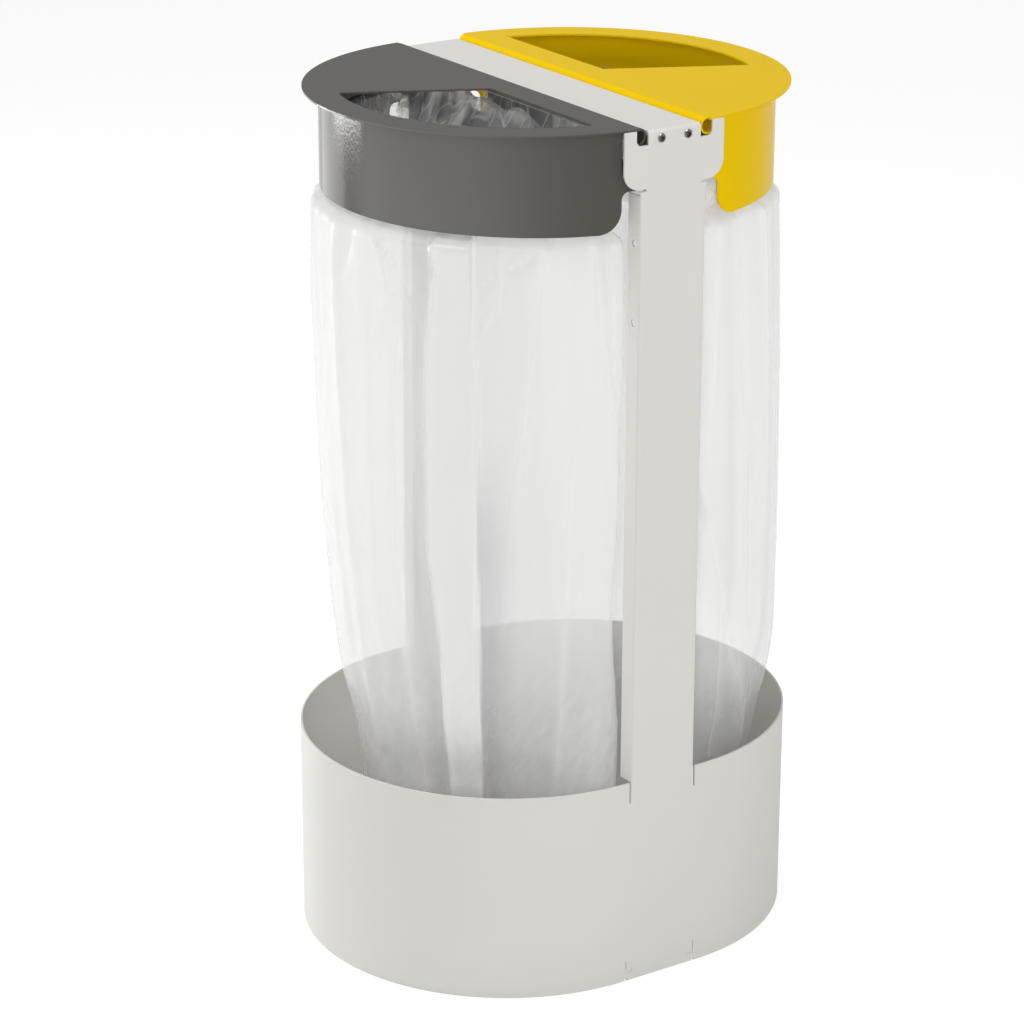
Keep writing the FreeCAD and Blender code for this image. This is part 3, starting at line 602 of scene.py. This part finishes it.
# For each fold: its line as (height, share) from the foot up, how deep it is, and how wide its
# slope is before and after the line. A narrow slope makes a sharp edge on that side.
LEFT_FOLDS = (
    (PLEAT_LEFT, 0.007, 0.003, 0.02),
    (PLEAT_RIGHT, 0.006, 0.02, 0.003),
    (((0.4, 0.681), (0.565, 0.692), (0.62, 0.7), (0.73, 0.713), (0.85, 0.719)),
     0.007, 0.022, 0.003),
    (((0.796, 0.662), (0.819, 0.697), (0.85, 0.739)), -0.005, 0.006, 0.012),
    (((0.736, 0.66), (0.772, 0.678), (0.82, 0.681)), 0.004, 0.005, 0.008),
    (((0.6, 0.802), (0.69, 0.789), (0.778, 0.776), (0.85, 0.774)), -0.004, 0.003, 0.008),
    (((0.66, 0.795), (0.755, 0.787), (0.85, 0.784)), 0.004, 0.003, 0.006),
    (((0.78, 0.504), (0.821, 0.516), (0.85, 0.522)), -0.002, 0.006, 0.012),
    (((0.76, 0.562), (0.78, 0.569), (0.81, 0.562), (0.85, 0.54)), 0.004, 0.012, 0.004),
    (((0.74, 0.603), (0.807, 0.574), (0.85, 0.538)), -0.004, 0.008, 0.015),
    (((0.1, 0.52), (0.6, 0.5), (0.85, 0.49)), 0.006, 0.03, 0.02),
    (((0.1, 0.575), (0.6, 0.57), (0.72, 0.575)), -0.005, 0.02, 0.012),
    (((0.1, 0.74), (0.6, 0.75)), 0.004, 0.02, 0.03),
    (((0.2, 0.3), (0.85, 0.35)), 0.005, 0.01, 0.02),
    (((0.1, 0.27), (0.85, 0.24)), -0.005, 0.02, 0.01),
    (((0.3, 0.15), (0.85, 0.16)), 0.005, 0.01, 0.02),
)
RIGHT_FOLDS = (
    (((0.31, 0.25), (0.6, 0.185)), 0.005, 0.003, 0.012),
    (((0.12, 0.32), (0.33, 0.25)), 0.005, 0.004, 0.014),
    (((0.1, 0.235), (0.42, 0.225)), -0.005, 0.006, 0.012),
    (((0.38, 0.272), (0.56, 0.27)), -0.004, 0.008, 0.014),
    (((0.3, 0.33), (0.6, 0.32)), 0.004, 0.008, 0.016),
    (((0.65, 0.205), (0.85, 0.213)), 0.004, 0.004, 0.012),
    (((0.6, 0.26), (0.85, 0.245)), -0.004, 0.01, 0.016),
    (((0.62, 0.3), (0.85, 0.29)), 0.005, 0.004, 0.014),
    (((0.2, 0.42), (0.85, 0.4)), -0.005, 0.012, 0.02),
    (((0.15, 0.5), (0.85, 0.52)), 0.005, 0.01, 0.02),
    (((0.3, 0.66), (0.85, 0.63)), -0.005, 0.01, 0.02),
    (((0.15, 0.72), (0.85, 0.74)), 0.005, 0.01, 0.02),
)
# At the foot, the corner by the front upright hangs straight down: the shares between which it
# starts, is full, fades and stops, the heights between which it fades out, and how far it goes
FOOT_CORNER = (0.7, 0.79, 0.86, 0.92)
FOOT_CORNER_TOP = (0.18, 0.45)
FOOT_CORNER_PUSH = 0.028
CREASE_WIDTH = 0.0045
CREASE_PLIES = 0.5
# Upright waves: how deep, how many round the sack, and how far they drift with the height
SLOW_WAVES = ((0.0009, 7, 2.0), (0.0006, 13, -3.0), (0.0003, 29, 5.0))


def smooth_step(low, high, value):
    """Rises smoothly from 0 at low to 1 at high."""
    share = np.clip((value - low) / (high - low), 0, 1)
    return share * share * (3 - 2 * share)


def fold_ends(heights, levels):
    """1 between the two ends of a fold, and falling softly to 0 beyond them."""
    ends = smooth_step(heights[0] - 0.03, heights[0] + 0.04, levels)
    return ends * (1 - smooth_step(heights[-1], heights[-1] + 0.03, levels))


def crease_lines(shares, levels, folds):
    """1 on the line of each fold, where the film is doubled, and 0 a few millimetres away."""
    drawn = np.zeros_like(shares)
    for line, *_ in folds:
        heights, places = zip(*line)
        off = np.abs(shares - np.interp(levels, heights, places))
        drawn = np.maximum(drawn, np.exp(-off / CREASE_WIDTH) * fold_ends(heights, levels))
    return drawn


def fold_depth(shares, levels, folds):
    """How far the folds push the film outwards, in metres, at each point of it."""
    pushed = np.zeros_like(shares)
    for line, depth, before, after in folds:
        heights, places = zip(*line)
        off = shares - np.interp(levels, heights, places)
        slope = np.exp(-np.abs(off) / np.where(off < 0, before, after))
        pushed += depth * slope * fold_ends(heights, levels)
    return pushed


def corner_fill(shares, levels):
    """Keeps the front corner of a sack out by the upright, where the large arc draws in."""
    start, full, fade, stop = FOOT_CORNER
    near = smooth_step(start, full, shares) * (1 - smooth_step(fade, stop, shares))
    return FOOT_CORNER_PUSH * near * (1 - smooth_step(*FOOT_CORNER_TOP, levels))


def slow_waves(shares, levels, phase):
    """Upright waves that drift a little on their way down."""
    turn = 2 * math.pi * shares
    return sum(
        depth * np.sin(count * turn + order * phase + drift * levels)
        for order, (depth, count, drift) in enumerate(SLOW_WAVES, 1)
    )


def pleat_edge(line, shares, levels):
    """The line's share at each height, and a sharp step that is 0 before the line and 1 after."""
    place = np.interp(levels, *zip(*line))
    return place, smooth_step(place - PLEAT_EDGE, place + PLEAT_EDGE, shares)


def left_plies(shares, levels):
    """Layers of film on the left sack: more in the pleat, and thinner film low to its right."""
    _, past_left = pleat_edge(PLEAT_LEFT, shares, levels)
    _, past_right = pleat_edge(PLEAT_RIGHT, shares, levels)
    inside = past_left * (1 - past_right)
    thin = past_right * (1 - smooth_step(*THINNER_TOP, levels))
    thin *= 1 - smooth_step(*THINNER_END, shares)
    return 1 + (PLEAT_PLIES - 1) * inside - THINNER_FOOT * thin


def left_shade(shares, levels):
    """Where the left sack's film turns away from the light: along both sides of its pleat."""
    left, past_left = pleat_edge(PLEAT_LEFT, shares, levels)
    right, past_right = pleat_edge(PLEAT_RIGHT, shares, levels)
    tuck = smooth_step(left - TUCK_START, left - TUCK_FULL, shares) * (1 - past_left)
    beside = past_right * (1 - smooth_step(right, right + BESIDE_WIDTH, shares))
    beside *= 1 - smooth_step(*BESIDE_TOP, levels)
    return np.clip(TUCK_SHADE * tuck + beside, 0, 1)


def right_plies(shares, levels):
    """Layers of film on the right sack, which shows more of the base through its foot."""
    return 1 - RIGHT_FOOT_THINNER * (1 - smooth_step(*RIGHT_THINNER_TOP, levels))


def right_shade(shares, levels):
    """The foot of the right sack lies in the shade of the base."""
    return RIGHT_FOOT_SHADE * (1 - smooth_step(*RIGHT_SHADE_TOP, levels))


# %% [markdown]
# ## Making a sack
# The film starts as a flat grid, as it comes off the roll: its width goes round the sack and its
# length runs from the weld to the edge of the cuff. Each row is laid on its own D, the folds and
# the noise move it in or out, and the two long edges are joined. At the foot the rows close flat
# on the floor plate, down to the weld. At the mouth the spare film is bunched up on the straight
# side, below the knuckles of the lids, and the film is slit round the two arms of its ring.
#
# Real film scatters most of the light onwards, while the milky part of this shader would stop it.
# So the left sack casts no shadow, and light that bounces between the pieces passes through it.
# The right sack blocks both, because the photograph is darker on that side.

# %% Make the film of one sack
FILM_ACROSS = 460
WELD_ROWS = 7
ARM_LOW, ARM_HIGH = Vector((-0.0564, 0.1875, 0.9022)), Vector((-0.0476, 0.2245, 0.93))
NECK_HANG = 0.012
BUNCH_RISE = 0.017
BUNCH_LOWEST, BUNCH_WAVES, BUNCH_FINENESS = 0.6, 1.2, 30
BUNCH_PLIES = 2.5
# Where along the straight side the bunch rises and where it falls, in shares
BUNCH_START, BUNCH_END = (-0.1, 0.0), (0.18, 0.21)
CUFF_FOLDS = 0.7
WELD_INSET = 0.075
WELD_WIDTH = 0.86
RIDGE_DEPTH, RIDGE_AT_MOUTH, RIDGE_AT_FOOT = 0.0007, 0.002, 0.0016
SMALL_DEPTH, SMALL_AT_FOOT = 0.0003, 0.0009
# The heights between which the crumple grows towards the mouth, and fades above the foot
CRUMPLE_MOUTH, CRUMPLE_FOOT = (0.78, 0.86), (0.2, 0.42)
# Noise scales: across and upright, and how much finer the second layer of noise is
CRUMPLE_NOISE, CRUMPLE_FINER = (14, 6), 3.1
HANG_NOISE, HANG_FINER = (22, 30), 2.3
HANG_LEAST, HANG_FACETS = 0.15, 1.8


def noise_place(point, level, seed, across, upright):
    """Where a point of the film lies in the noise."""
    return Vector((point[0] * across, point[1] * across, level * upright + seed))


def crumple(point, level, seed):
    """Sharp creases from ridged noise, stronger at the mouth and in the lowest third."""
    near_mouth = float(smooth_step(*CRUMPLE_MOUTH, level))
    near_foot = 1 - float(smooth_step(*CRUMPLE_FOOT, level))
    spot = noise_place(point, level, seed, *CRUMPLE_NOISE)
    ridge = 0.5 - 2 * abs(noise.noise(spot))
    small = 0.5 - 2 * abs(noise.noise(spot * CRUMPLE_FINER))
    ridge *= RIDGE_DEPTH + RIDGE_AT_MOUTH * near_mouth + RIDGE_AT_FOOT * near_foot
    return ridge + small * (SMALL_DEPTH + SMALL_AT_FOOT * near_foot)


def neck_hang(point, level, seed):
    """How far the loose film inside the ring hangs away from it, in flat facets between creases."""
    spot = noise_place(point, level, seed, *HANG_NOISE)
    facets = abs(noise.noise(spot)) + 0.5 * abs(noise.noise(spot * HANG_FINER))
    free = float(smooth_step(NECK_LEVEL - 0.02, NECK_LEVEL + 0.012, level))
    free *= 1 - float(smooth_step(RING_LEVEL - 0.022, RING_LEVEL - 0.004, level))
    return -NECK_HANG * (HANG_LEAST + HANG_FACETS * facets) * free


def bunched(shares):
    """1 where the spare film of the mouth is bunched up on the straight side, and else 0."""
    signed = (shares + 0.5) % 1.0 - 0.5
    return smooth_step(*BUNCH_START, signed) * (1 - smooth_step(*BUNCH_END, signed))


def make_sack(name, body, folds, phase, turned):
    """Lays a flat grid of film out as a sack. turned swings it round to the right side."""
    rows = film_rows(body)
    count = len(rows) + WELD_ROWS
    bpy.ops.mesh.primitive_grid_add(x_subdivisions=FILM_ACROSS, y_subdivisions=count - 1, size=1)
    sack = bpy.context.object
    sack.name = name
    flat = np.zeros(len(sack.data.vertices) * 3)
    sack.data.vertices.foreach_get("co", flat)
    flat = flat.reshape(-1, 3)
    shares = flat[:, 0] + 0.5
    row_index = np.rint((flat[:, 1] + 0.5) * (count - 1)).astype(int)
    placed = np.zeros_like(flat)
    top_row = len(rows) - 1
    crest = max(range(len(rows)), key=lambda i: rows[i][0])
    for index in range(count):
        here = np.where(row_index == index)[0]
        body_row = max(index - WELD_ROWS, 0)
        level, *outline = rows[body_row]
        points, outwards = d_outline(*outline, shares[here] % 1.0)
        levels = np.full(len(here), level)
        held = 1 - smooth_step(NECK_LEVEL - 0.03, RING_LEVEL - 0.012, level)
        if body_row > crest:
            held = float(smooth_step(0.0, 0.05, RING_LEVEL - level)) * CUFF_FOLDS
        push = fold_depth(shares[here] % 1.0, levels, folds)
        push += slow_waves(shares[here], levels, phase)
        push += np.array([crumple(p, level, phase * 10) for p in points])
        push = push * held
        if not turned:
            push += corner_fill(shares[here] % 1.0, levels)
        if body_row < crest:
            push += np.array([neck_hang(p, level, phase * 10) for p in points])
        points = points + outwards * push[:, None]
        if index < WELD_ROWS:
            closed = index / WELD_ROWS
            weld = np.array([-SACK_SIDE - WELD_INSET, 0.0])
            narrowed = np.array([closed, WELD_WIDTH + (1 - WELD_WIDTH) * closed])
            points = weld + (points - weld) * narrowed
            level = FLOOR_LEVEL + (level - FLOOR_LEVEL) * closed
        raised = smooth_step(RING_LEVEL - 0.02, RING_LEVEL, level) * bunched(shares[here] % 1.0)
        waves = [
            abs(noise.noise(Vector((p[0], p[1] * BUNCH_FINENESS, phase)))) for p in points
        ]
        levels = level + BUNCH_RISE * raised * (BUNCH_LOWEST + BUNCH_WAVES * np.array(waves))
        placed[here] = np.column_stack((points, levels))
    if turned:
        placed[:, :2] *= -1
    plies = (right_plies if turned else left_plies)(shares % 1.0, placed[:, 2])
    plies += CREASE_PLIES * crease_lines(shares % 1.0, placed[:, 2], folds)
    at_mouth = smooth_step(NECK_LEVEL, RING_LEVEL, placed[:, 2])
    plies += BUNCH_PLIES * bunched(shares % 1.0) * at_mouth
    shade = (right_shade if turned else left_shade)(shares % 1.0, placed[:, 2])
    sack.data.attributes.new("plies", "FLOAT", "POINT").data.foreach_set("value", plies)
    sack.data.attributes.new("shade", "FLOAT", "POINT").data.foreach_set("value", shade)
    sack.data.vertices.foreach_set("co", placed.ravel())
    sack.data.update()
    print(name, "laid out:", count, "rows,", top_row - crest, "of them in the cuff")
    return sack


def join_seam_and_slit(sack, turned):
    """Joins the long edges of the film and slits it round the two arms of its ring."""
    bpy.ops.object.select_all(action="DESELECT")
    sack.select_set(True)
    bpy.context.view_layer.objects.active = sack
    sign = -1 if turned else 1
    bpy.ops.object.mode_set(mode="EDIT")
    bpy.ops.mesh.select_all(action="SELECT")
    bpy.ops.mesh.remove_doubles(threshold=0.00002)
    bpy.ops.mesh.select_all(action="DESELECT")
    bpy.ops.mesh.select_mode(type="FACE")
    bpy.ops.object.mode_set(mode="OBJECT")
    for face in sack.data.polygons:
        x, y, z = face.center.x * sign, abs(face.center.y), face.center.z
        # one box holds both arms, because y is taken without its sign
        face.select = all(low < v < high for low, v, high in zip(ARM_LOW, (x, y, z), ARM_HIGH))
    bpy.ops.object.mode_set(mode="EDIT")
    bpy.ops.mesh.delete(type="FACE")
    bpy.ops.object.mode_set(mode="OBJECT")
    bpy.ops.object.shade_smooth()


for name, body, folds, phase, turned in (
    ("left_sack_film", LEFT_BODY, LEFT_FOLDS, 0.7, False),
    ("right_sack_film", RIGHT_BODY, RIGHT_FOLDS, 2.9, True),
):
    sack = make_sack(name, body, folds, phase, turned)
    join_seam_and_slit(sack, turned)
    sack.data.materials.append(film)
    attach(sack, "stand")
    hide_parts(name.replace("_film", ""))
    sack.visible_shadow = turned
    sack.visible_diffuse = turned
    print(name, len(sack.data.polygons), "faces")
